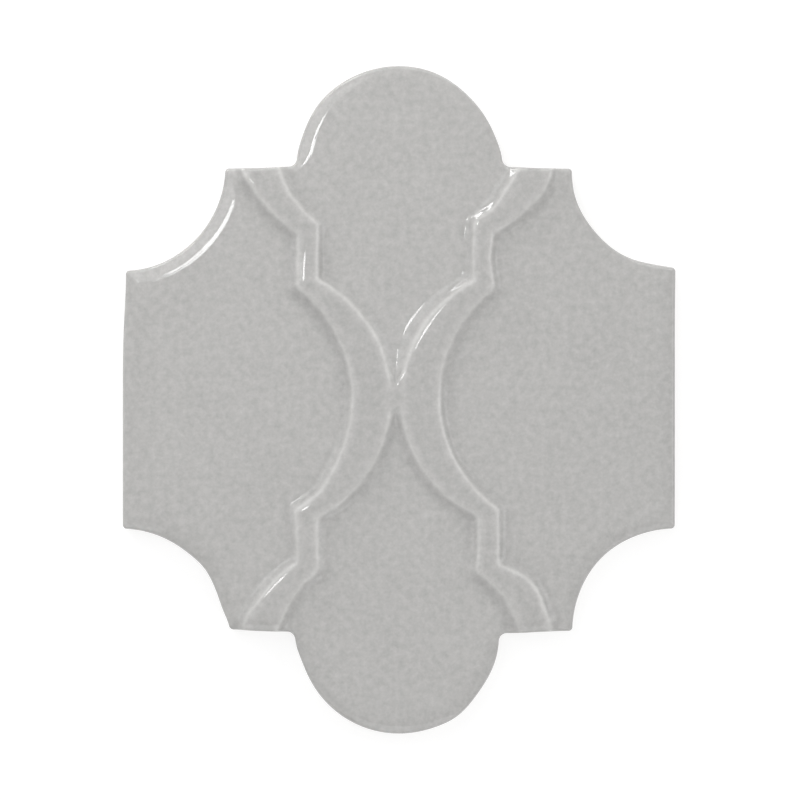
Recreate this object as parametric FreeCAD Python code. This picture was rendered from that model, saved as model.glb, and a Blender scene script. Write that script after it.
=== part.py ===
import FreeCAD, Part
import math
import os
from FreeCAD import Vector

# A lantern-shaped arabesque wall tile, moulded and fired as one ceramic piece.
# Millimetres. The back lies on z = 0, the face looks along +Z, and Y runs from dome to dome.
# The outline tessellates: each dome fits the hollow that two neighbouring tiles leave for it.

# Outline, seen from the face
DOME_RADIUS = 30.0
SHOULDER_LENGTH = 22.0   # between a dome and the horn beside it
SIDE_LENGTH = 77.2       # of each straight side
JOINT = 1.4              # grout gap between laid tiles
NOTCH_FILLET = 1.6       # inside corner between a dome and its shoulder
HORN_ROUND = 1.0         # outside corners at the horns and the straight sides

# Thickness, and the roll that takes the face down to its rim
FIELD_THICKNESS = 9.0
ROLL_WIDTH = 4.4
ROLL_DROP = 1.4

# The two raised bands, back to back, measured half-way up their flanks
BAND_RISE = 2.2
BAND_GAP = 1.4           # groove between the bands at the middle of the tile
WAIST_WIDTH = 13.2       # of one band at the middle of the tile
WAIST_RADIUS = 40.0      # of the long arcs that bow towards the middle
NECK_OFFSET = 23.2       # from the centre line to the inner side of the straight neck
NECK_WIDTH = 6.6
INNER_RUN_OUT = 16.9     # from the neck up to the shoulder, on the band's inner side
OUTER_RUN_OUT = 20.8
RUN_OUT_RADIUS = 36.0
NOTCH_MARGIN = 4.2       # bare shoulder between the notch and the band
HORN_MARGIN = 5.8        # bare shoulder between the band and the horn
CORNER_ROUND = 0.4       # neck corners, where the flanks are at their lowest
FLANK_ANGLE = 50.0       # degrees, from the field
CREST_RADIUS = 1.8
FOOT_RADIUS = 2.2

# Key grooves across the back, which the adhesive grips
KEY_DEPTH = 1.2
KEY_WIDTH = 7.0
KEY_PITCH = 14.0
KEY_MARGIN = 11.0        # flat land between the grooves and the outline

# How far cutters and blanks overrun the faces that trim them
OVERRUN = 0.3

hollow_radius = DOME_RADIUS + JOINT
hollow_leg = math.sqrt(hollow_radius ** 2 - (JOINT / 2) ** 2)
horn_x = DOME_RADIUS + SHOULDER_LENGTH
hollow_x = horn_x + hollow_leg
half_width = hollow_x - JOINT / 2
side_y = SIDE_LENGTH / 2
dome_y = side_y + hollow_leg
shoulder_y = dome_y - JOINT / 2
notch_y = shoulder_y + NOTCH_FILLET
notch_x = math.sqrt((DOME_RADIUS + NOTCH_FILLET) ** 2 - (notch_y - dome_y) ** 2)
band_top = FIELD_THICKNESS + BAND_RISE

ORIGIN = Vector(0, 0, 0)
UP = Vector(0, 0, 1)
SAME_SPOT = 1e-6


def line(start, end):
    return Part.LineSegment(start, end).toShape()


def arc_about(centre, start, end):
    """The shorter arc from start to end about centre."""
    middle = (start - centre) + (end - centre)
    middle.normalize()
    return Part.Arc(start, centre + middle * (start - centre).Length, end).toShape()


def mirrored_x(shapes):
    return [shape.mirror(ORIGIN, Vector(1, 0, 0)) for shape in shapes]


def mirrored_y(shapes):
    return [shape.mirror(ORIGIN, Vector(0, 1, 0)) for shape in shapes]


def joined_wire(edges):
    return Part.Wire(Part.__sortEdges__(edges))


def upright_edges(solid, spots):
    """The upright edges of a prism that stand on the given (x, y) spots or their mirror images."""
    found = []
    for edge in solid.Edges:
        box = edge.BoundBox
        foot = (abs(box.XMin), abs(box.YMin))
        on_spot = any(math.dist(foot, spot) < SAME_SPOT for spot in spots)
        if on_spot and box.XLength < SAME_SPOT and box.YLength < SAME_SPOT:
            found.append(edge)
    return found


def dome_edges():
    """Right half of the upper end: the notch fillet, then the dome up to its top."""
    dome_centre = Vector(0, dome_y, 0)
    notch_centre = Vector(notch_x, notch_y, 0)
    on_dome = dome_centre + (notch_centre - dome_centre) * (DOME_RADIUS / (DOME_RADIUS + NOTCH_FILLET))
    on_shoulder = Vector(notch_x, shoulder_y, 0)
    dome_top = Vector(0, dome_y + DOME_RADIUS, 0)
    return [arc_about(notch_centre, on_shoulder, on_dome), arc_about(dome_centre, on_dome, dome_top)]


def shoulder_edge(outer_x):
    return line(Vector(outer_x, shoulder_y, 0), Vector(notch_x, shoulder_y, 0))


def outline_wire():
    """The closed lantern outline, sharp at its outside corners."""
    horn = Vector(horn_x, shoulder_y, 0)
    side_corner = Vector(half_width, side_y, 0)
    hollow_centre = Vector(hollow_x, dome_y, 0)
    quarter = [line(Vector(half_width, 0, 0), side_corner)]
    quarter += [arc_about(hollow_centre, side_corner, horn), shoulder_edge(horn_x)]
    quarter += dome_edges()
    half = quarter + mirrored_x(quarter)
    return joined_wire(half + mirrored_y(half))


def roll_section(top, place):
    """Section of the cutter that rolls the face off towards its rim.

    place(out, z) gives the point at height z that lies out beyond the outline.
    """
    roll_radius = (ROLL_WIDTH ** 2 + ROLL_DROP ** 2) / (2 * ROLL_DROP)
    half_turn = math.asin(ROLL_WIDTH / roll_radius) / 2
    middle_out = roll_radius * math.sin(half_turn) - ROLL_WIDTH
    middle_z = top - roll_radius * (1 - math.cos(half_turn))
    reach = NOTCH_FILLET / 2
    start = place(-ROLL_WIDTH, top)
    rim = place(0, top - ROLL_DROP)
    roll = Part.Arc(start, place(middle_out, middle_z), rim).toShape()
    corners = [rim, place(reach, top - ROLL_DROP), place(reach, top + OVERRUN)]
    corners += [place(-ROLL_WIDTH, top + OVERRUN), start]
    return Part.Wire([roll] + [line(a, b) for a, b in zip(corners, corners[1:])])


def dome_cutter(top):
    start_x = horn_x + ROLL_WIDTH
    half = [shoulder_edge(start_x)] + dome_edges()
    path = joined_wire(half + mirrored_x(half))
    section = roll_section(top, lambda out, z: Vector(start_x, shoulder_y + out, z))
    return path.makePipeShell([section], True, True)


def hollow_cutter(top):
    rim_x = hollow_x - hollow_radius
    section = roll_section(top, lambda out, z: Vector(rim_x + out, dome_y, z))
    return Part.Face(section).revolve(Vector(hollow_x, dome_y, 0), UP, 360)


def side_cutter(top):
    start_y = side_y + ROLL_WIDTH
    section = roll_section(top, lambda out, z: Vector(half_width + out, start_y, z))
    return Part.Face(section).extrude(Vector(0, -2 * start_y, 0))


def rolled_blank(top):
    """A plain tile of the height top, with its face rolled off all round."""
    prism = Part.Face(outline_wire()).extrude(UP * top)
    corners = upright_edges(prism, [(horn_x, shoulder_y), (half_width, side_y)])
    blank = prism.makeFillet(HORN_ROUND, corners)
    hollows = [hollow_cutter(top)]
    upper = [dome_cutter(top)] + hollows + mirrored_x(hollows)
    sides = [side_cutter(top)]
    return blank.cut(upper + mirrored_y(upper) + sides + mirrored_x(sides))


def run_out_arc(neck_corner, shoulder_end):
    """Arc from the neck through the shoulder end and past the rim, hollow towards the dome."""
    chord = shoulder_end - neck_corner
    across = Vector(-chord.y, chord.x, 0)
    across.normalize()
    to_centre = math.sqrt(RUN_OUT_RADIUS ** 2 - (chord.Length / 2) ** 2)
    centre = neck_corner + chord * 0.5 + across * to_centre
    far_y = shoulder_end.y + ROLL_WIDTH
    far_x = centre.x + math.sqrt(RUN_OUT_RADIUS ** 2 - (far_y - centre.y) ** 2)
    far = Vector(far_x, far_y, 0)
    return arc_about(centre, neck_corner, far), far


def band_side(waist_x, neck_x, run_out, end_x):
    """Upper half of one side of the right band: its edges, its neck corners and its far end."""
    waist_centre = Vector(waist_x + WAIST_RADIUS, 0, 0)
    neck_bottom = math.sqrt(WAIST_RADIUS ** 2 - (waist_centre.x - neck_x) ** 2)
    low_corner = Vector(neck_x, neck_bottom, 0)
    high_corner = Vector(neck_x, shoulder_y - run_out, 0)
    waist = arc_about(waist_centre, Vector(waist_x, 0, 0), low_corner)
    end_arc, far = run_out_arc(high_corner, Vector(end_x, shoulder_y, 0))
    corners = [(neck_x, low_corner.y), (neck_x, high_corner.y)]
    return [waist, line(low_corner, high_corner), end_arc], corners, far


def band_plan(round_radius):
    """Plan of the right band half-way up its flanks, with its neck corners rounded."""
    waist_x = BAND_GAP / 2
    inner, inner_corners, inner_far = band_side(waist_x, NECK_OFFSET, INNER_RUN_OUT, notch_x + NOTCH_MARGIN)
    outer, outer_corners, outer_far = band_side(waist_x + WAIST_WIDTH, NECK_OFFSET + NECK_WIDTH,
                                                OUTER_RUN_OUT, horn_x - HORN_MARGIN)
    half = inner + outer + [line(inner_far, outer_far)]
    prism = Part.Face(joined_wire(half + mirrored_y(half))).extrude(UP)
    rounded = prism.makeFillet(round_radius, upright_edges(prism, inner_corners + outer_corners))
    return min(rounded.Faces, key=lambda face: face.CenterOfMass.z).OuterWire


def band_blank():
    """The right band with straight flanks, from below the rim of the field to above its own top."""
    slope = math.tan(math.radians(FLANK_ANGLE))
    middle_z = FIELD_THICKNESS + BAND_RISE / 2
    low_z = FIELD_THICKNESS - ROLL_DROP - OVERRUN
    high_z = band_top + OVERRUN
    low_spread = (middle_z - low_z) / slope
    high_spread = (middle_z - high_z) / slope
    plan = band_plan(CORNER_ROUND + low_spread)
    sharp_ends = ("arc", "tangent", "intersection").index("intersection")
    low = plan.makeOffset2D(low_spread, sharp_ends)
    high = plan.makeOffset2D(high_spread, sharp_ends)
    low.translate(UP * low_z)
    high.translate(UP * high_z)
    return Part.makeLoft([low, high], True, True)


def tilt(face, point):
    """Degrees between the face's outward normal at the point and the vertical."""
    u, v = face.Surface.parameter(point)
    return math.degrees(face.normalAt(u, v).getAngle(UP))


def flank_edges(solid):
    """The edges along which a band's flank meets a flatter face."""
    clear_bend = FLANK_ANGLE / 8
    found = []
    for edge in solid.Edges:
        middle = edge.valueAt((edge.FirstParameter + edge.LastParameter) / 2)
        tilts = [tilt(face, middle) for face in solid.ancestorsOfType(edge, Part.Face)]
        is_flank = abs(max(tilts) - FLANK_ANGLE) < clear_bend
        if is_flank and min(tilts) < FLANK_ANGLE - clear_bend:
            found.append(edge)
    return found


def flank_share():
    """The share of the crest and foot radii that the flank has room for, with a sliver left between them."""
    sliver = 0.05
    flank_length = BAND_RISE / math.sin(math.radians(FLANK_ANGLE))
    wanted = (CREST_RADIUS + FOOT_RADIUS) * math.tan(math.radians(FLANK_ANGLE / 2))
    return min(1, (1 - sliver) * flank_length / wanted)


def face_half():
    """Right half of the tile: the field and the band on it, with a rolled crest and a soft foot."""
    share = flank_share()
    band = band_blank().common(rolled_blank(band_top)).Solids[0]
    crested = band.makeFillet(CREST_RADIUS * share, flank_edges(band))
    raised = rolled_blank(FIELD_THICKNESS).fuse(crested).removeSplitter().Solids[0]
    softened = raised.makeFillet(FOOT_RADIUS * share, flank_edges(raised))
    length = 2 * (dome_y + DOME_RADIUS)
    right = Part.makeBox(2 * half_width, 2 * length, 2 * band_top, Vector(0, -length, -band_top))
    return softened.common(right)


def key_grooves():
    """Blind grooves across the back, kept clear of the outline and of the centre line."""
    keyed_area = Part.Face(outline_wire().makeOffset2D(-KEY_MARGIN)).extrude(UP * KEY_DEPTH)
    reach_y = dome_y + DOME_RADIUS - KEY_MARGIN
    grooves = []
    middle_y = KEY_PITCH / 2
    while middle_y + KEY_WIDTH / 2 < reach_y:
        corner = Vector(-half_width, middle_y - KEY_WIDTH / 2, 0)
        grooves.append(Part.makeBox(2 * half_width, KEY_WIDTH, KEY_DEPTH, corner).common(keyed_area))
        middle_y += KEY_PITCH
    return grooves + mirrored_y(grooves)


def tile():
    right = face_half()
    whole = right.fuse(mirrored_x([right])).removeSplitter()
    return whole.cut(key_grooves()).removeSplitter().Solids[0]


os.makedirs("parts", exist_ok=True)
tile().exportStep("parts/tile.step")
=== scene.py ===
import math

import bpy
import numpy as np
from mathutils import Matrix, Quaternion, Vector
from mathutils.geometry import delaunay_2d_cdt


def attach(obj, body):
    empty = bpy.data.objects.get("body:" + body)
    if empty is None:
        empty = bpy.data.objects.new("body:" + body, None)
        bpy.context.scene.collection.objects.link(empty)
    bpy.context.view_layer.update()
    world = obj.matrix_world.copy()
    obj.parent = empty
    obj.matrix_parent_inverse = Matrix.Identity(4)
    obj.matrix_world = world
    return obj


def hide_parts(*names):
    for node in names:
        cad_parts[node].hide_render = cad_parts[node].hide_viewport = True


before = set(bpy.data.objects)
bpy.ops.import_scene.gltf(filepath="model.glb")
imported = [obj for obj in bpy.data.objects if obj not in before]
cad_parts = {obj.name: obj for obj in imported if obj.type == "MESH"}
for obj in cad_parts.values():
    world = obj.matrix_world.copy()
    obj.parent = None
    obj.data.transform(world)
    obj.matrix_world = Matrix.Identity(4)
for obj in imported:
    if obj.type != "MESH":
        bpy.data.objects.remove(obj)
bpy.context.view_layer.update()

# Lengths are millimetres, apart from the floor's and the lamps', which are metres. MM turns one into the
# other. Angles are degrees where no other unit is named.
MM = 0.001

# Outline, bands and back. The sizes are the solid's, apart from the necks, which the glaze fills out.
DOME_RADIUS = 30.0
SHOULDER_LENGTH = 22.0
SIDE_LENGTH = 77.2
JOINT = 1.4
FIELD_THICKNESS = 9.0
BAND_RISE = 2.2
BAND_GAP = 1.4
WAIST_WIDTH = 13.2
WAIST_RADIUS = 40.0
NECK_OFFSET = 22.6
NECK_WIDTH = 7.7
INNER_RUN_OUT = 16.9
OUTER_RUN_OUT = 20.8
RUN_OUT_RADIUS = 36.0
MOULD_FILLET = 1.6       # radius of the notch before the glaze rounds it
NOTCH_MARGIN = 4.2
HORN_MARGIN = 5.8
FLANK_ANGLE = 50.0
RELIEF_SHIFT = (-0.9, 0.6)   # the bands were pressed a little off the middle
KEY_DEPTH = 1.2
KEY_WIDTH = 7.0
KEY_PITCH = 14.0
KEY_MARGIN = 11.0

# How the glaze softens the moulded shape
NOTCH_FILLET = 2.4
HORN_ROUND = 1.2
CREST_SOFT = 0.42
FOOT_SOFT = 0.75
CORNER_SOFT = 1.2
ROLL_SLOPE = 0.36
ROLL_REACH = 2.7
ROLL_SOFT = 1.05
ROLL_BLEND = 12.0        # the higher, the sharper the line where two rolls meet
ROLL_FILLET = 7.0        # radius of the notch as the roll follows it
RIM_WIDTH = 1.05         # has to stay below HORN_ROUND
RIM_STEEPEST = 60.0

# Wall below the rim
GLAZE_LIP = 0.22         # how far the glazed wall stands out from the bare clay
GLAZE_LINE = 2.4         # height of the glaze's lower edge on the wall
GLAZE_WAVER = 0.45
BACK_BEVEL = 0.6
STRAIGHT_TOP = 0.1       # the bare wall is straight from this far below the glaze
STRAIGHT_FOOT = 0.2      # to this far above the bevel

# Waves of the glaze's lower edge: number round the tile, share of the waver and phase in radians
GLAZE_WAVES = ((3, 0.5, 0.7), (8, 0.3, 2.1), (19, 0.2, 4.0))

# Bead of glaze above its lower edge: inset from the outline and height above the edge
GLAZE_BEAD = ((-0.05, 0.3), (-0.05, 0.15), (0.03, 0.03))

# Section of a key groove from its mouth to its bottom: spread beyond the groove and height above the back
GROOVE_SECTION = ((0.35, 0.0), (0.12, 0.1), (0.0, 0.35), (-0.05, 0.8), (-0.25, 1.1), (-0.6, KEY_DEPTH))

# Where the hand that pressed the clay left the outline out of true: place, push and reach
PRESSES = (
    ((78.0, 39.0), (0.2, 1.2), 9.0),
    ((54.0, 60.0), (-0.5, -0.1), 9.0),
    ((31.0, 70.5), (1.0, 0.5), 7.0),
    ((21.0, 91.0), (-0.3, -0.3), 10.0),
    ((-83.0, 37.0), (0.9, 0.1), 14.0),
    ((-31.0, 70.5), (-0.6, 0.6), 7.0),
    ((-23.0, 89.0), (-0.3, 0.25), 10.0),
    ((61.0, -48.0), (-0.45, 0.45), 16.0),
    ((24.5, -87.0), (-0.3, 0.2), 7.0),
    ((17.0, -95.0), (0.2, -0.3), 6.0),
    ((-52.0, -69.0), (1.7, 0.6), 7.5),
    ((-53.0, -64.0), (-0.85, -0.25), 6.0),
    ((-59.0, -51.0), (0.3, 0.25), 5.0),
    ((-30.5, -71.0), (-1.1, -0.2), 6.0),
    ((33.0, -70.0), (0.0, -0.6), 8.0),
)

# The same for the bands alone
BAND_PRESSES = (
    ((44.5, 64.0), (1.9, -0.9), 10.0),
    ((29.5, 42.5), (-1.3, 0.0), 6.5),
    ((23.5, 52.0), (0.0, 1.0), 6.0),
    ((33.5, 66.0), (-1.3, 0.3), 7.0),
    ((-30.5, 60.5), (0.5, 0.35), 9.0),
    ((-36.0, 69.0), (1.7, 0.0), 5.5),
    ((-46.0, 68.5), (-1.0, 0.0), 7.0),
    ((-23.0, -27.5), (0.6, -0.5), 8.0),
    ((-31.0, -33.5), (-0.8, -0.6), 6.0),
    ((-33.5, -58.0), (1.0, 0.5), 6.0),
    ((-36.5, -67.5), (1.8, 0.0), 7.0),
    ((-46.0, -67.0), (-1.6, 0.0), 6.0),
    ((25.5, -42.0), (1.3, 0.0), 13.0),
    ((29.5, -32.0), (0.4, -0.7), 5.0),
    ((29.8, -48.5), (-0.1, -0.9), 5.0),
    ((40.5, -56.0), (1.9, 1.3), 9.0),
    ((47.5, -66.0), (1.0, 0.0), 5.0),
)

# Where the glaze ran thicker or thinner over a crest and a foot: place, gain in softness and reach
CREST_SPOTS = (
    ((4.0, 25.0), 1.1, 13.0),
    ((-31.0, 43.0), 0.9, 7.0),
    ((-29.5, -30.5), 0.8, 9.0),
    ((-35.0, -50.0), 0.5, 8.0),
)
FOOT_SPOTS = (
    ((4.0, 25.0), 0.4, 13.0),
    ((17.0, -13.0), -0.65, 11.0),
    ((-22.0, 42.0), -0.65, 7.0),
    ((33.0, 45.0), -0.65, 9.0),
    ((20.5, 54.0), -0.6, 5.0),
    ((-29.5, -30.5), -0.6, 9.0),
    ((-35.0, -50.0), -0.6, 8.0),
)

# Where a band stands a little higher or lower: place, gain in height and reach
SWELLS = (
    ((-26.0, 33.0), 0.6, 9.0),
    ((-29.5, -30.5), -0.6, 10.0),
    ((-35.0, -50.0), -0.6, 9.0),
)

# Pool of glaze that fills the groove where the bands meet and leaves it pointed at both ends
POOL_HALF_LENGTH = 5.0
POOL_SPREAD = 2.0
POOL_SOFT = 0.8
POOL_REACH = 9.0
POOL_POWER = 6           # how suddenly the pool ends at its reach

# Mesh spacing and accuracy
FINE = 0.46
EDGE_ZONE = 6.0
FLANK_ZONE = 3.4
RING_GAP = 0.6           # share of the spacing that stays free beside the rim
OUTLINE_STEP = 0.6
ARC_STEP = 9.0
RIM_STEPS = 8
WALL_SHARES = (0.3, 0.6, 0.85)          # of the way down the glazed wall
BEVEL_SHARES = (0.0, 0.33, 0.67, 1.0)   # of the bevel's quarter turn
GROOVE_ROWS = 9
SLOPE_STEP = 0.05        # length over which a slope is measured
NORMAL_STEP = 0.02
SAME_POINT = 1e-6
HALVINGS = 40            # of the interval in which a groove's end is searched

# Material numbers of the mesh, and the way of triangulating that fills what its lines enclose
GLAZED, BARE = 0, 1
FILL_INSIDE = 1

# Glaze. A noise is written as its size, detail and roughness.
GLAZE_LEVEL = 0.48
GLAZE_TINT = (1.0, 0.988, 0.966)
GLAZE_ROUGHNESS = 0.03
GLAZE_IOR = 1.5
CLOUDS = (2.2, 3.0, 0.62)
CLOUD_STRENGTH = 0.46
DRIFT = (13.0, 2.0, 0.5)
DRIFT_STRENGTH = 0.08
GRAIN = (0.7, 1.0, 0.5)
GRAIN_STRENGTH = 0.12
PEEL = (2.2, 1.0, 0.5)
PEEL_DEPTH = 0.006

# Stripes of the glaze along the bands and the rim: middle, as a distance inwards, and half width
CREST_STRIPE = (0.95, 0.65)
SHOULDER_STRIPE = (1.8, 1.1)
FOOT_STRIPE = (-1.8, 1.6)
EDGE_STRIPE = (0.2, 0.5)
TOP_START = 1.8
TOP_RUN = 1.6
WANDER = (5.0, 2.0, 0.5)
WANDER_WIDTH = 0.8

# How much paler or darker the stripes are than the field
CREST_TONE = 0.17
CREST_PAINTED_HIGHLIGHT = 0.10   # painted highlight, added where the crest faces the upper right
CREST_POWER = 4            # how suddenly the pale crest begins beside the pool
SHOULDER_TONE = 0.05
FOOT_TONE = -0.04
TOP_TONE = -0.03
EDGE_TONE = 0.05

# Bisque
BISQUE_DARK = (0.60, 0.55, 0.47, 1)
BISQUE_PALE = (0.70, 0.655, 0.58, 1)
BISQUE_SPECK = (0.42, 0.37, 0.31, 1)
BISQUE_ROUGHNESS = 0.85
BISQUE_CLOUDS = (9.0, 4.0, 0.6)
SPECKS = (0.35, 2.0, 0.7)
SPECK_SHARE = 0.25
SPECK_DEPTH = 0.05

# Floor and room. Seen directly, the floor glows and the room is white.
WHITE = (1, 1, 1, 1)
FLOOR_REACH = 6.0
FLOOR_DEPTH = 0.00002      # keeps the floor clear of the tile's back
FLOOR_COLOUR = (0.8, 0.8, 0.8, 1)
FLOOR_VEIL = (0.35, 0.35, 0.35, 1)
FLOOR_GLOW = 0.75
ROOM_LEVEL = 0.42

# Lamps that face the middle of the tile: place, width, length, radiance and turn about their own axis
LAMPS = {
    "window_foot": ((-0.215, 0.166, 1.0), 0.105, 0.05, 11.0, -15.0),
    "window_head": ((-0.236, 0.228, 1.0), 0.085, 0.075, 11.0, 24.0),
    "far_window": ((-0.99, 1.79, 0.81), 1.0, 0.12, 7.0, 29.0),
    "low_window": ((-1.41, 1.62, 0.46), 0.45, 0.2, 12.0, 41.0),
    "rim_strip": ((-1.0, 1.9, 0.22), 0.85, 0.28, 14.0, 28.0),
    "sky_box": ((-0.26, 0.25, 0.50), 0.34, 0.31, 1.4, 0.0),
    "top_box": ((0.0, 0.75, 0.51), 0.66, 0.42, 1.9, 0.0),
    "front_box": ((0.2, -1.35, 0.95), 1.6, 1.4, 1.15, 0.0),
    "left_box": ((-1.25, 0.25, 0.80), 0.6, 0.8, 0.65, 0.0),
    "right_box": ((1.88, 0.5, 1.2), 1.4, 1.55, 1.2, 0.0),
    "overhead": ((0.10, -0.05, 1.2), 0.5, 0.7, 0.2, 0.0),
}

# Camera straight above the tile. The frame's width is measured at the height of the rim.
CAMERA_PLACE = (0.33, -0.06)
CAMERA_HEIGHT = 1400.0
FRAME_WIDTH = 239.56
RIM_HEIGHT = 7.5

hollow_radius = DOME_RADIUS + JOINT
hollow_leg = math.sqrt(hollow_radius ** 2 - (JOINT / 2) ** 2)
horn_x = DOME_RADIUS + SHOULDER_LENGTH
hollow_x = horn_x + hollow_leg
half_width = hollow_x - JOINT / 2
side_y = SIDE_LENGTH / 2
dome_y = side_y + hollow_leg
shoulder_y = dome_y - JOINT / 2
flank_half_run = BAND_RISE / 2 / math.tan(math.radians(FLANK_ANGLE))


def softplus(values):
    return np.logaddexp(0.0, values)


def smooth_max(a, b):
    near = np.maximum(CORNER_SOFT - np.abs(a - b), 0.0) / CORNER_SOFT
    return np.maximum(a, b) + near * near * CORNER_SOFT / 4


def smooth_min(a, b):
    return -smooth_max(-a, -b)


def notch_centre(fillet):
    """Centre of the fillet between the right shoulder and the upper dome."""
    height = shoulder_y + fillet
    return math.sqrt((DOME_RADIUS + fillet) ** 2 - (height - dome_y) ** 2), height


def end_distance(x, y, fillet):
    """Distance inwards from the line of shoulder, notch and dome, for points of the first quadrant."""
    centre_x, centre_y = notch_centre(fillet)
    dome = DOME_RADIUS - np.hypot(x, y - dome_y)
    notch = np.hypot(x - centre_x, y - centre_y) - fillet
    above = centre_x * (y - dome_y) - (centre_y - dome_y) * x
    return np.where(x > centre_x, shoulder_y - y, np.where(above > 0, dome, notch))


def edge_distances(x, y, fillet=NOTCH_FILLET):
    """Distances inwards from the three lines that bound the tile, in any quadrant."""
    x, y = np.abs(x), np.abs(y)
    hollow = np.hypot(x - hollow_x, y - dome_y) - hollow_radius
    return np.stack([end_distance(x, y, fillet), hollow, half_width - x])


def edge_distance(x, y):
    return np.min(edge_distances(x, y), axis=0)


def roll_drop(x, y):
    """How far the face rolls down towards the edge."""
    falls = ROLL_SLOPE * ROLL_SOFT * softplus((ROLL_REACH - edge_distances(x, y, ROLL_FILLET)) / ROLL_SOFT)
    return np.sum(falls ** ROLL_BLEND, axis=0) ** (1 / ROLL_BLEND)


def run_out_centre(neck_x, run_out, end_x):
    """Centre of the arc from a neck's upper corner to where the band's side crosses the shoulder."""
    chord = np.array([end_x - neck_x, run_out])
    length = np.hypot(*chord)
    across = np.array([-chord[1], chord[0]]) / length
    start = np.array([neck_x, shoulder_y - run_out])
    return start + chord / 2 + across * math.sqrt(RUN_OUT_RADIUS ** 2 - (length / 2) ** 2)


inner_end = run_out_centre(NECK_OFFSET, INNER_RUN_OUT, DOME_RADIUS + MOULD_FILLET + NOTCH_MARGIN)
outer_end = run_out_centre(NECK_OFFSET + NECK_WIDTH, OUTER_RUN_OUT, horn_x - HORN_MARGIN)


def band_distances(x, y):
    """Distances into the right band from its inner and its outer side, about the middle of the relief."""
    y = np.abs(y)
    inner_waist = WAIST_RADIUS - np.hypot(x - BAND_GAP / 2 - WAIST_RADIUS, y)
    inner_run = np.hypot(x - inner_end[0], y - inner_end[1]) - RUN_OUT_RADIUS
    inner = smooth_min(smooth_max(inner_waist, x - NECK_OFFSET), inner_run)
    outer_waist = np.hypot(x - BAND_GAP / 2 - WAIST_WIDTH - WAIST_RADIUS, y) - WAIST_RADIUS
    outer_run = RUN_OUT_RADIUS - np.hypot(x - outer_end[0], y - outer_end[1])
    outer = smooth_max(smooth_min(outer_waist, NECK_OFFSET + NECK_WIDTH - x), outer_run)
    return inner, outer


def flank_profile(distance, foot_soft, crest_soft):
    """Rises from 0 on the field to 1 on the band, half-way near distance 0."""
    foot = foot_soft * softplus((distance + flank_half_run) / foot_soft)
    crest = crest_soft * softplus((distance - flank_half_run) / crest_soft)
    return (foot - crest) / (2 * flank_half_run)


def spot_share(x, y, place, reach):
    """1 at the place, falling off smoothly within the reach."""
    return np.exp(-((x - place[0]) ** 2 + (y - place[1]) ** 2) / reach ** 2)


def sum_of_spots(x, y, spots):
    return sum(gain * spot_share(x, y, place, reach) for place, gain, reach in spots)


def true_relief(x, y):
    """Place in the true relief of a point of the hand-pressed one."""
    true_x, true_y = x - RELIEF_SHIFT[0], y - RELIEF_SHIFT[1]
    for place, push, reach in BAND_PRESSES:
        share = spot_share(x, y, place, reach)
        true_x, true_y = true_x - push[0] * share, true_y - push[1] * share
    return true_x, true_y


def pool_share(x, y):
    """1 where the glaze fills the groove between the bands, about the middle of the relief."""
    depth = POOL_HALF_LENGTH + POOL_SPREAD * np.hypot(x, POOL_SOFT / 2) - np.abs(y)
    return np.exp(-(np.hypot(x, y) / POOL_REACH) ** POOL_POWER) / (1 + np.exp(-depth / POOL_SOFT))


def band_line(x, y):
    """Signed distance from the nearest band's flank, positive on the band."""
    x, y = true_relief(x, y)
    right = np.minimum(*band_distances(x, y))
    left = np.minimum(*band_distances(-x, y))
    return np.maximum(right, left)


def band_share(x, y):
    """Height of the bands from 0 on the field to 1, with the groove between them left soft."""
    foot_soft = FOOT_SOFT * (1 + sum_of_spots(x, y, FOOT_SPOTS))
    crest_soft = CREST_SOFT * (1 + sum_of_spots(x, y, CREST_SPOTS))
    x, y = true_relief(x, y)
    bare = 1 - pool_share(x, y)
    for side in (1, -1):
        inner, outer = band_distances(side * x, y)
        inner_rise = flank_profile(inner, foot_soft, crest_soft)
        bare = bare * (1 - inner_rise * flank_profile(outer, foot_soft, crest_soft))
    return 1 - bare


def face_height(x, y):
    band_rise = BAND_RISE + sum_of_spots(x, y, SWELLS)
    return FIELD_THICKNESS + band_rise * band_share(x, y) - roll_drop(x, y)


def surface(plan):
    """Plan points lifted onto the face."""
    return np.column_stack([plan, face_height(plan[:, 0], plan[:, 1])])


def pressed(points):
    """Points of the true tile moved to where the hand-pressed one has them."""
    moved = points.copy()
    for place, push, reach in PRESSES:
        moved[:, :2] += spot_share(points[:, 0], points[:, 1], place, reach)[:, None] * push
    return moved


def surface_normals(plan):
    along_x = pressed(surface(plan + [NORMAL_STEP, 0])) - pressed(surface(plan - [NORMAL_STEP, 0]))
    along_y = pressed(surface(plan + [0, NORMAL_STEP])) - pressed(surface(plan - [0, NORMAL_STEP]))
    normals = np.cross(along_x, along_y)
    return normals / np.linalg.norm(normals, axis=1)[:, None]


def arc_points(centre, radius, start, end, sign):
    """Points and outward normals along an arc; sign is -1 where the tile lies outside the circle."""
    sweep = abs(end - start)
    count = max(int(sweep / math.radians(ARC_STEP)), int(sweep * radius / OUTLINE_STEP), 2)
    angles = np.linspace(start, end, count + 1)
    rays = np.stack([np.cos(angles), np.sin(angles)], axis=1)
    return np.array(centre) + radius * rays, sign * rays


def line_points(start, end, normal):
    """Points and outward normals along a straight stretch."""
    start, end = np.array(start), np.array(end)
    count = max(int(np.hypot(*(end - start)) / OUTLINE_STEP), 1)
    points = start + (end - start) * np.linspace(0, 1, count + 1)[:, None]
    return points, np.tile(np.array(normal, float), (count + 1, 1))


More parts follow.
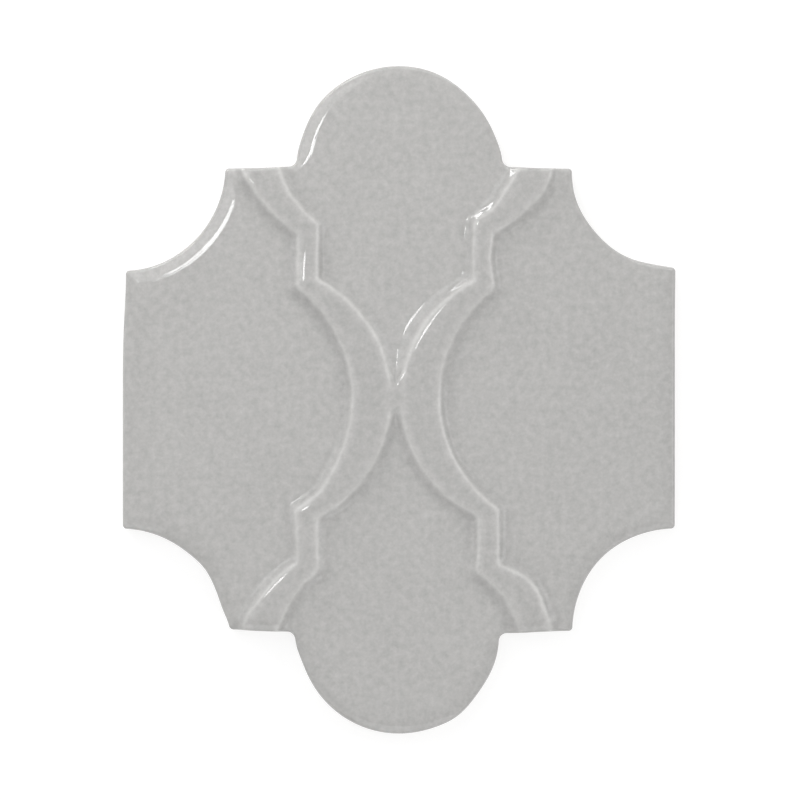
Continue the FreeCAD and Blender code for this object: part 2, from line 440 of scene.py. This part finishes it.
def outline():
    """Closed outline, anticlockwise, as points and outward normals."""
    notch_x, notch_y = notch_centre(NOTCH_FILLET)
    corner_x = half_width - HORN_ROUND
    corner_y = dome_y - math.sqrt((hollow_radius + HORN_ROUND) ** 2 - (hollow_x - corner_x) ** 2)
    tip_y = shoulder_y - HORN_ROUND
    tip_x = hollow_x - math.sqrt((hollow_radius + HORN_ROUND) ** 2 - (dome_y - tip_y) ** 2)
    corner_angle = math.atan2(dome_y - corner_y, hollow_x - corner_x)
    tip_angle = math.atan2(dome_y - tip_y, hollow_x - tip_x)
    notch_angle = math.atan2(notch_y - dome_y, notch_x)
    pieces = [
        line_points((half_width, 0), (half_width, corner_y), (1, 0)),
        arc_points((corner_x, corner_y), HORN_ROUND, 0, corner_angle, 1),
        arc_points((hollow_x, dome_y), hollow_radius, corner_angle - math.pi, tip_angle - math.pi, -1),
        arc_points((tip_x, tip_y), HORN_ROUND, tip_angle, math.pi / 2, 1),
        line_points((tip_x, shoulder_y), (notch_x, shoulder_y), (0, 1)),
        arc_points((notch_x, notch_y), NOTCH_FILLET, -math.pi / 2, notch_angle - math.pi, -1),
        arc_points((0, dome_y), DOME_RADIUS, notch_angle, math.pi / 2, 1),
    ]
    points = np.concatenate([piece[0][:-1] for piece in pieces] + [pieces[-1][0][-1:]])
    normals = np.concatenate([piece[1][:-1] for piece in pieces] + [pieces[-1][1][-1:]])
    for flip in (np.array([-1, 1]), np.array([1, -1])):
        points = np.concatenate([points, (points * flip)[-2::-1]])
        normals = np.concatenate([normals, (normals * flip)[-2::-1]])
    return points[:-1], normals[:-1]


def triangulated(points, edges, loops):
    """Points, triangles and, for each point, the numbers of the given points that lie there."""
    vectors = [Vector(point) for point in points.tolist()]
    found, _, triangles, sources = delaunay_2d_cdt(vectors, edges, loops, FILL_INSIDE, SAME_POINT)[:4]
    return np.array([tuple(point) for point in found]), triangles, sources


def face_plan(inner_ring):
    """Triangulated plan of the face inside its rim: points, with the ring first, and triangles.

    The points lie in staggered rows, on the open field only every second one of every second row.
    """
    row_step = FINE * math.sqrt(3) / 2
    reach_y = dome_y + DOME_RADIUS
    rows = np.arange(-reach_y, reach_y, row_step)
    columns = np.arange(-half_width, half_width, FINE)
    row, column = np.meshgrid(np.arange(len(rows)), np.arange(len(columns)), indexing="ij")
    x = columns[column] + (row % 2) * FINE / 2
    y = rows[row]
    inside = edge_distance(x, y)
    busy = (inside < EDGE_ZONE) | (np.abs(band_line(x, y)) < FLANK_ZONE)
    sparse = ((row % 4 == 0) & (column % 2 == 0)) | ((row % 4 == 2) & (column % 2 == 1))
    keep = (inside > RIM_WIDTH + FINE * RING_GAP) & (busy | sparse)
    points = np.concatenate([inner_ring, np.stack([x[keep], y[keep]], axis=1)])
    return triangulated(points, [], [list(range(len(inner_ring)))])[:2]


class Skin:
    """Collects the tile's points, faces and material numbers."""

    def __init__(self):
        self.points = []
        self.faces = []
        self.materials = []
        self.count = 0

    def add_points(self, points):
        """Adds points and returns their numbers."""
        first = self.count
        self.points.append(np.asarray(points, float))
        self.count += len(points)
        return np.arange(first, self.count)

    def add_faces(self, faces, material):
        self.faces += [tuple(int(i) for i in face) for face in faces]
        self.materials += [material] * len(faces)

    def bridge(self, upper, lower, material):
        """Joins two closed rings of the same length that run anticlockwise seen from above."""
        next_upper, next_lower = np.roll(upper, -1), np.roll(lower, -1)
        self.add_faces(np.stack([upper, lower, next_lower, next_upper], axis=1), material)

    def add_rings(self, last, points, normals, rings, material):
        """Goes on from the last ring through rings at the given insets and heights along the outline."""
        for inset, height in rings:
            plan = points - normals * np.reshape(inset, (-1, 1))
            ring = self.add_points(np.column_stack([plan, np.broadcast_to(height, len(points))]))
            self.bridge(last, ring, material)
            last = ring
        return last


def rim_rings(points, normals):
    """Insets and heights that round the face off from the slope that it has beside the rim."""
    start_plan = points - RIM_WIDTH * normals
    start_height = face_height(*start_plan.T)
    slope = (face_height(*(start_plan - SLOPE_STEP * normals).T) - start_height) / SLOPE_STEP
    lean = np.clip(np.arctan(slope), 0, math.radians(RIM_STEEPEST))
    radius = RIM_WIDTH / (1 - np.sin(lean))
    rings = []
    for share in np.linspace(0, 1, RIM_STEPS + 1)[1:]:
        turn = lean + (math.pi / 2 - lean) * share
        inset = RIM_WIDTH - radius * (np.sin(turn) - np.sin(lean))
        rings.append((inset, start_height - radius * (np.cos(lean) - np.cos(turn))))
    return rings


def glaze_edge(points):
    """Height of the glaze's wavering lower edge at each point of the outline."""
    along = np.concatenate([[0], np.cumsum(np.hypot(*np.diff(points, axis=0).T))])
    turn = 2 * math.pi * along / (along[-1] + OUTLINE_STEP)
    waver = sum(share * np.sin(number * turn + phase) for number, share, phase in GLAZE_WAVES)
    return GLAZE_LINE + GLAZE_WAVER * waver


def bevel_rings():
    """Insets and heights of the quarter round between the bare wall and the back."""
    rings = []
    for share in BEVEL_SHARES:
        turn = share * math.pi / 2
        rings.append((GLAZE_LIP + BACK_BEVEL * (1 - math.cos(turn)), BACK_BEVEL * (1 - math.sin(turn))))
    return rings


def add_wall(skin, inner, points, normals):
    """The rounded rim, the glazed wall, the bare clay below it and the bevel of the back."""
    rim = rim_rings(points, normals)
    top = rim[-1][1]
    edge = glaze_edge(points)
    glazed = rim + [(0.0, top - (top - edge) * share) for share in WALL_SHARES]
    glazed += [(inset, edge + height) for inset, height in GLAZE_BEAD] + [(GLAZE_LIP, edge)]
    bare = [(GLAZE_LIP, edge - STRAIGHT_TOP), (GLAZE_LIP, BACK_BEVEL + STRAIGHT_FOOT)] + bevel_rings()
    lip = skin.add_rings(inner, points, normals, glazed, GLAZED)
    return skin.add_rings(lip, points, normals, bare, BARE)


def groove_half_length(y):
    """Half length of a key groove at y: where the land beside the outline begins."""
    low, high = np.zeros_like(y), np.full_like(y, half_width)
    for _ in range(HALVINGS):
        middle = (low + high) / 2
        inside = edge_distance(middle, y) > KEY_MARGIN
        low, high = np.where(inside, middle, low), np.where(inside, high, middle)
    return low


def add_groove(skin, middle):
    """The key groove about y = middle. Returns the ring of its mouth and the mouth's right half."""
    rows = middle + np.linspace(-1, 1, GROOVE_ROWS) * KEY_WIDTH / 2
    half = groove_half_length(rows)
    rights = []
    for spread, height in GROOVE_SECTION:
        y = middle + (rows - middle) * (1 + 2 * spread / KEY_WIDTH)
        rights.append(np.column_stack([half + spread, y, np.full_like(y, height)]))
    rings = [skin.add_points(np.concatenate([right, right[::-1] * [-1, 1, 1]])) for right in rights]
    for outer, inner in zip(rings, rings[1:]):
        skin.bridge(outer, inner, BARE)
    right, left = rings[-1][:GROOVE_ROWS], rings[-1][:GROOVE_ROWS - 1:-1]
    skin.add_faces(np.stack([right[:-1], left[:-1], left[1:], right[1:]], axis=1), BARE)
    return rings[0], rights[0]


def in_mouth(x, y, right):
    """Whether a point of the back lies in the mouth of a groove, which is given by its right half."""
    return right[0, 1] < y < right[-1, 1] and abs(x) < np.interp(y, right[:, 1], right[:, 0])


def add_back(skin, ring):
    """The flat back with its key grooves."""
    reach_y = dome_y + DOME_RADIUS - KEY_MARGIN
    count = int((reach_y - KEY_WIDTH / 2 + KEY_PITCH / 2) / KEY_PITCH)
    grooves = [add_groove(skin, (number + 0.5) * KEY_PITCH) for number in range(-count, count)]
    loops = [ring] + [mouth for mouth, _ in grooves]
    numbers = np.concatenate(loops)
    edges = []
    for loop in loops:
        first, length = len(edges), len(loop)
        edges += [(first + i, first + (i + 1) % length) for i in range(length)]
    points, triangles, sources = triangulated(np.concatenate(skin.points)[numbers][:, :2], edges, [])
    for a, b, c in triangles:
        x, y = np.mean(points[[a, b, c]], axis=0)
        if not any(in_mouth(x, y, right) for _, right in grooves):
            skin.add_faces([[numbers[sources[i][0]] for i in (a, c, b)]], BARE)


def glaze_lines(x, y):
    """What colours the glaze: the distances from flank and rim, and how pale a crest is, from thin glaze
    all round and a painted highlight where it faces the upper right.
    """
    line = band_line(x, y)
    fall_x = line - band_line(x + SLOPE_STEP, y)
    fall_y = line - band_line(x, y + SLOPE_STEP)
    facing = np.clip((fall_x + fall_y) / SLOPE_STEP / math.sqrt(2), 0, 1)
    away = np.hypot(*true_relief(x, y)) / POOL_HALF_LENGTH
    # Crests are paler where the glaze runs thin; the part added where they face the upper right is a
    # painted highlight.
    crest_pale_and_painted_highlight = (CREST_TONE + CREST_PAINTED_HIGHLIGHT * facing) * (1 - np.exp(-away ** CREST_POWER))
    return {"band_line": line, "rim_line": edge_distance(x, y), "crest_pale_and_painted_highlight": crest_pale_and_painted_highlight}


def tile_mesh():
    """The whole tile as one closed mesh."""
    ring, ring_normals = outline()
    plan, triangles = face_plan(ring - RIM_WIDTH * ring_normals)
    skin = Skin()
    face = skin.add_points(surface(plan))
    skin.add_faces(triangles, GLAZED)
    add_back(skin, add_wall(skin, face[:len(ring)], ring, ring_normals))
    points = np.concatenate(skin.points)

    mesh = bpy.data.meshes.new("glazed_tile")
    mesh.from_pydata((pressed(points) * MM).tolist(), [], skin.faces)
    mesh.polygons.foreach_set("material_index", skin.materials)
    mesh.shade_smooth()
    mesh.validate()
    for name, values in glaze_lines(points[:, 0], points[:, 1]).items():
        attribute = mesh.attributes.new(name, "FLOAT", "POINT")
        attribute.data.foreach_set("value", values.astype(np.float32))

    normals = np.zeros(len(points) * 3, np.float32)
    mesh.vertices.foreach_get("normal", normals)
    normals = normals.reshape(-1, 3)
    normals[:len(plan)] = surface_normals(plan)
    mesh.normals_split_custom_set_from_vertices(normals.tolist())
    return mesh


class Nodes:
    """Short way to write the node tree of a material or of the world."""

    def __init__(self, owner):
        owner.use_nodes = True
        self.tree = owner.node_tree
        self.tree.nodes.clear()

    def add(self, kind, inputs=None, **settings):
        """A node with its settings, and its inputs set to values or linked to sockets."""
        node = self.tree.nodes.new(kind)
        for name, value in settings.items():
            setattr(node, name, value)
        for name, value in (inputs or {}).items():
            socket = node.inputs[name]
            if isinstance(value, bpy.types.NodeSocket):
                self.tree.links.new(value, socket)
            else:
                socket.default_value = value
        return node

    def calc(self, operation, a, b=0.0, c=0.0, clamp=False):
        node = self.add("ShaderNodeMath", {0: a, 1: b, 2: c}, operation=operation, use_clamp=clamp)
        return node.outputs[0]

    def attribute(self, name):
        return self.add("ShaderNodeAttribute", attribute_name=name).outputs["Fac"]

    def noise(self, position, size, detail, roughness):
        """Noise between 0 and 1 with features of about the given size."""
        inputs = {"Vector": position, "Scale": 1 / (size * MM), "Detail": detail, "Roughness": roughness}
        return self.add("ShaderNodeTexNoise", inputs).outputs["Fac"]

    def shaken(self, value, strength, noise):
        """The value with noise added to both sides of it."""
        return self.calc("MULTIPLY_ADD", self.calc("SUBTRACT", noise, 0.5), strength, value)

    def bell(self, value, centre, width):
        """1 where the value is at the centre, falling off within the width."""
        offset = self.calc("DIVIDE", self.calc("SUBTRACT", value, centre), width)
        square = self.calc("MULTIPLY", offset, offset)
        return self.calc("POWER", math.e, self.calc("MULTIPLY", square, -1.0))

    def blend(self, share, low, high):
        """Colour between low and high."""
        share_socket, low_socket, high_socket, colour_socket = 0, 6, 7, 2
        node = self.add("ShaderNodeMix", {share_socket: share, low_socket: low, high_socket: high},
                        data_type="RGBA")
        return node.outputs[colour_socket]

    def bump(self, height, depth):
        """Normal of a surface that rises by the depth where the height goes from 0 to 1."""
        inputs = {"Height": height, "Strength": 1.0, "Distance": depth * MM}
        return self.add("ShaderNodeBump", inputs).outputs[0]


def glaze_material():
    """Grey glaze: mottled, pale on the crests and edges, with a painted highlight on crests that face the
    upper right, darker at the feet and on top of the bands.
    """
    material = bpy.data.materials.new("grey_glaze")
    nodes = Nodes(material)
    place = nodes.add("ShaderNodeTexCoord").outputs["Object"]
    tone = nodes.shaken(1.0, CLOUD_STRENGTH, nodes.noise(place, *CLOUDS))
    tone = nodes.shaken(tone, DRIFT_STRENGTH, nodes.noise(place, *DRIFT))
    tone = nodes.shaken(tone, GRAIN_STRENGTH, nodes.noise(place, *GRAIN))
    band = nodes.shaken(nodes.attribute("band_line"), WANDER_WIDTH, nodes.noise(place, *WANDER))
    top = nodes.calc("DIVIDE", nodes.calc("SUBTRACT", band, TOP_START), TOP_RUN, clamp=True)
    stripes = [
        (nodes.bell(band, *FOOT_STRIPE), FOOT_TONE),
        (top, TOP_TONE),
        # pale crest from thin glaze, with a painted highlight where the crest faces the upper right
        (nodes.bell(band, *CREST_STRIPE), nodes.attribute("crest_pale_and_painted_highlight")),
        (nodes.bell(band, *SHOULDER_STRIPE), SHOULDER_TONE),
        (nodes.bell(nodes.attribute("rim_line"), *EDGE_STRIPE), EDGE_TONE),
    ]
    for share, gain in stripes:
        tone = nodes.calc("MULTIPLY_ADD", share, gain, tone)
    grey = tuple(GLAZE_LEVEL * part for part in GLAZE_TINT)
    colour = nodes.add("ShaderNodeVectorMath", {0: grey, "Scale": tone}, operation="SCALE")
    peel = nodes.bump(nodes.noise(place, *PEEL), PEEL_DEPTH)
    shader = nodes.add("ShaderNodeBsdfPrincipled", {"Base Color": colour.outputs[0], "IOR": GLAZE_IOR,
                                                    "Roughness": GLAZE_ROUGHNESS, "Normal": peel})
    nodes.add("ShaderNodeOutputMaterial", {"Surface": shader.outputs[0]})
    return material


def bisque_material():
    """Bare fired clay: cloudy and finely specked."""
    material = bpy.data.materials.new("pale_bisque")
    nodes = Nodes(material)
    place = nodes.add("ShaderNodeTexCoord").outputs["Object"]
    speck = nodes.noise(place, *SPECKS)
    colour = nodes.blend(nodes.noise(place, *BISQUE_CLOUDS), BISQUE_DARK, BISQUE_PALE)
    colour = nodes.blend(nodes.calc("MULTIPLY", speck, SPECK_SHARE), colour, BISQUE_SPECK)
    shader = nodes.add("ShaderNodeBsdfPrincipled", {"Base Color": colour, "Roughness": BISQUE_ROUGHNESS,
                                                    "Normal": nodes.bump(speck, SPECK_DEPTH)})
    nodes.add("ShaderNodeOutputMaterial", {"Surface": shader.outputs[0]})
    return material


def shown_or_lit(nodes, lit, shown):
    """The shown shader for camera, glossy and transmission rays, and the lit one for the rest."""
    path = nodes.add("ShaderNodeLightPath")
    seen = nodes.calc("MAXIMUM", path.outputs["Is Camera Ray"], path.outputs["Is Glossy Ray"])
    seen = nodes.calc("MAXIMUM", seen, path.outputs["Is Transmission Ray"])
    mix = nodes.add("ShaderNodeMixShader", {0: seen, 1: lit.outputs[0], 2: shown.outputs[0]})
    return mix.outputs[0]


def floor_material():
    """Pale matt floor that looks white and still takes the tile's shadow."""
    material = bpy.data.materials.new("white_floor")
    nodes = Nodes(material)
    matt = nodes.add("ShaderNodeBsdfDiffuse", {"Color": FLOOR_COLOUR})
    veil = nodes.add("ShaderNodeBsdfDiffuse", {"Color": FLOOR_VEIL})
    glow = nodes.add("ShaderNodeEmission", {"Color": WHITE, "Strength": FLOOR_GLOW})
    shown = nodes.add("ShaderNodeAddShader", {0: veil.outputs[0], 1: glow.outputs[0]})
    nodes.add("ShaderNodeOutputMaterial", {"Surface": shown_or_lit(nodes, matt, shown)})
    return material


def add_object(name, data):
    added = bpy.data.objects.new(name, data)
    bpy.context.scene.collection.objects.link(added)
    return added


def floor_mesh():
    mesh = bpy.data.meshes.new("floor")
    corners = [(-1, -1), (1, -1), (1, 1), (-1, 1)]
    mesh.from_pydata([(FLOOR_REACH * x, FLOOR_REACH * y, -FLOOR_DEPTH) for x, y in corners],
                     [], [tuple(range(len(corners)))])
    mesh.materials.append(floor_material())
    return mesh


def set_world():
    """Even light from all round, in a room that looks white."""
    world = bpy.data.worlds.new("studio")
    bpy.context.scene.world = world
    nodes = Nodes(world)
    light = nodes.add("ShaderNodeBackground", {"Color": WHITE, "Strength": ROOM_LEVEL})
    white = nodes.add("ShaderNodeBackground", {"Color": WHITE, "Strength": 1.0})
    nodes.add("ShaderNodeOutputWorld", {"Surface": shown_or_lit(nodes, light, white)})


def add_softbox(name, place, width, length, radiance, turn):
    """A rectangular lamp that faces the middle of the tile, with its length along Y before the turn."""
    light = bpy.data.lights.new(name, "AREA")
    light.shape = "RECTANGLE"
    light.size, light.size_y = width, length
    light.energy = radiance * math.pi * width * length
    lamp = add_object(name, light)
    lamp.location = place
    ahead = Vector(place).normalized()
    across = Vector((0, 1, 0)).cross(ahead).normalized()
    facing = Matrix((across, ahead.cross(across), ahead)).transposed().to_quaternion()
    lamp.rotation_mode = "QUATERNION"
    lamp.rotation_quaternion = facing @ Quaternion((0, 0, 1), math.radians(turn))
    lamp.visible_camera = False


def add_camera():
    camera_data = bpy.data.cameras.new("camera")
    camera_data.lens = camera_data.sensor_width * (CAMERA_HEIGHT - RIM_HEIGHT) / FRAME_WIDTH
    camera = add_object("camera", camera_data)
    camera.location = Vector((*CAMERA_PLACE, CAMERA_HEIGHT)) * MM
    bpy.context.scene.camera = camera


tile = add_object("glazed_tile", tile_mesh())
tile.data.materials.append(glaze_material())
tile.data.materials.append(bisque_material())
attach(tile, "root")
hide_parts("tile")

floor = add_object("floor", floor_mesh())
set_world()
for lamp_name, lamp_values in LAMPS.items():
    add_softbox(lamp_name, *lamp_values)
add_camera()
bpy.context.scene.view_settings.view_transform = "Standard"
